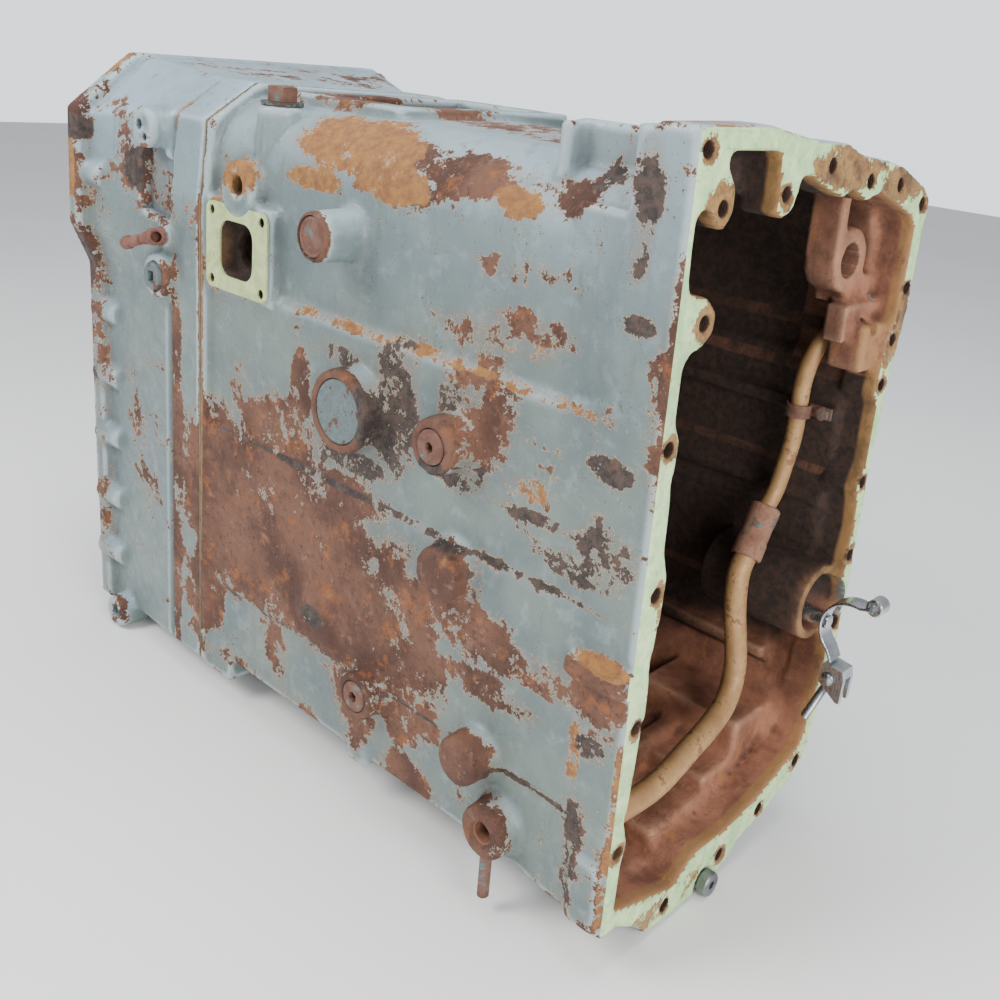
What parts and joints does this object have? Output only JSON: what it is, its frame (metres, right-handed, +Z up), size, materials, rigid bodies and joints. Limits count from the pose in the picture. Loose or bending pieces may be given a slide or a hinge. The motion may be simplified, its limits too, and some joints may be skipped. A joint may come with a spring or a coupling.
{
  "type": "manual transmission case",
  "caption": "Empty cast-iron gearbox case with a clutch bell, open rear flange, side bosses, inner oil pipe and a hinged clamp.",
  "frame": {"origin": "centre of the bounding box in plan, at the height of the lowest point", "axes": "+X lengthwise towards the open rear flange, -X towards the clutch bell, -Y out of the side wall with the bosses, +Z up"},
  "size_m": [0.828, 0.488, 0.643],
  "materials": {
    "case_paint": "weathered blue-grey paint over rusty cast iron",
    "housing_paint": "weathered light blue-grey paint",
    "joint_sheet": "thin fibre gasket",
    "port_sheet": "thin pale green fibre gasket",
    "black_fastener": "blackened, rusty",
    "dowel_steel": "ground",
    "rusty_plug": "rusty with paint left in places",
    "painted_plug": "worn paint over rust",
    "dark_washer": "dark oxide",
    "copper_fitting": "copper-brown",
    "grey_union": "dull",
    "pipe_paint": "ochre film over steel",
    "pipe_sleeve": "mauve-brown",
    "rusty_clip": "surface rust",
    "clamp_steel": "bright"
  },
  "bodies": {
    "case": {"main_case": "case_paint", "front_housing": "housing_paint", "joint_gasket": "joint_sheet", "port_gasket": "port_sheet", "joint_bolt_1": "black_fastener", "joint_bolt_2": "black_fastener", "joint_bolt_3": "black_fastener", "joint_bolt_4": "black_fastener", "joint_bolt_5": "black_fastener", "joint_bolt_6": "black_fastener", "joint_bolt_7": "black_fastener", "joint_bolt_8": "black_fastener", "joint_bolt_9": "black_fastener", "joint_bolt_10": "black_fastener", "joint_bolt_11": "black_fastener", "joint_bolt_12": "black_fastener", "joint_dowel_1": "dowel_steel", "joint_dowel_2": "dowel_steel", "upper_bore_plug": "rusty_plug", "detent_plug": "rusty_plug", "lower_screw_plug": "rusty_plug", "top_hex_plug": "rusty_plug", "drain_plug": "rusty_plug", "level_plug": "rusty_plug", "drain_tube": "rusty_plug", "core_plug": "painted_plug", "square_socket_plug": "painted_plug", "side_cap": "painted_plug", "top_plug_washer": "dark_washer", "hose_elbow": "copper_fitting", "bottom_union": "grey_union", "lower_oil_pipe": "pipe_paint", "upper_oil_pipe": "pipe_paint", "pipe_nut": "pipe_paint", "pipe_sleeve": "pipe_sleeve", "pipe_clip": "rusty_clip", "pipe_clip_bolt": "rusty_clip", "clamp_post": "clamp_steel", "clamp_band": "clamp_steel", "clamp_bracket": "clamp_steel", "clamp_pin": "clamp_steel"},
    "swing_bolt": {"clamp_swing_bolt": "clamp_steel"}
  },
  "joints": [
    {"name": "clamp_bolt_swing", "type": "hinge", "parent": "case", "child": "swing_bolt", "pos_m": [0.377, 0.071, 0.165], "axis": [0, -1, 0], "range_deg": [-8, 100]}
  ]
}
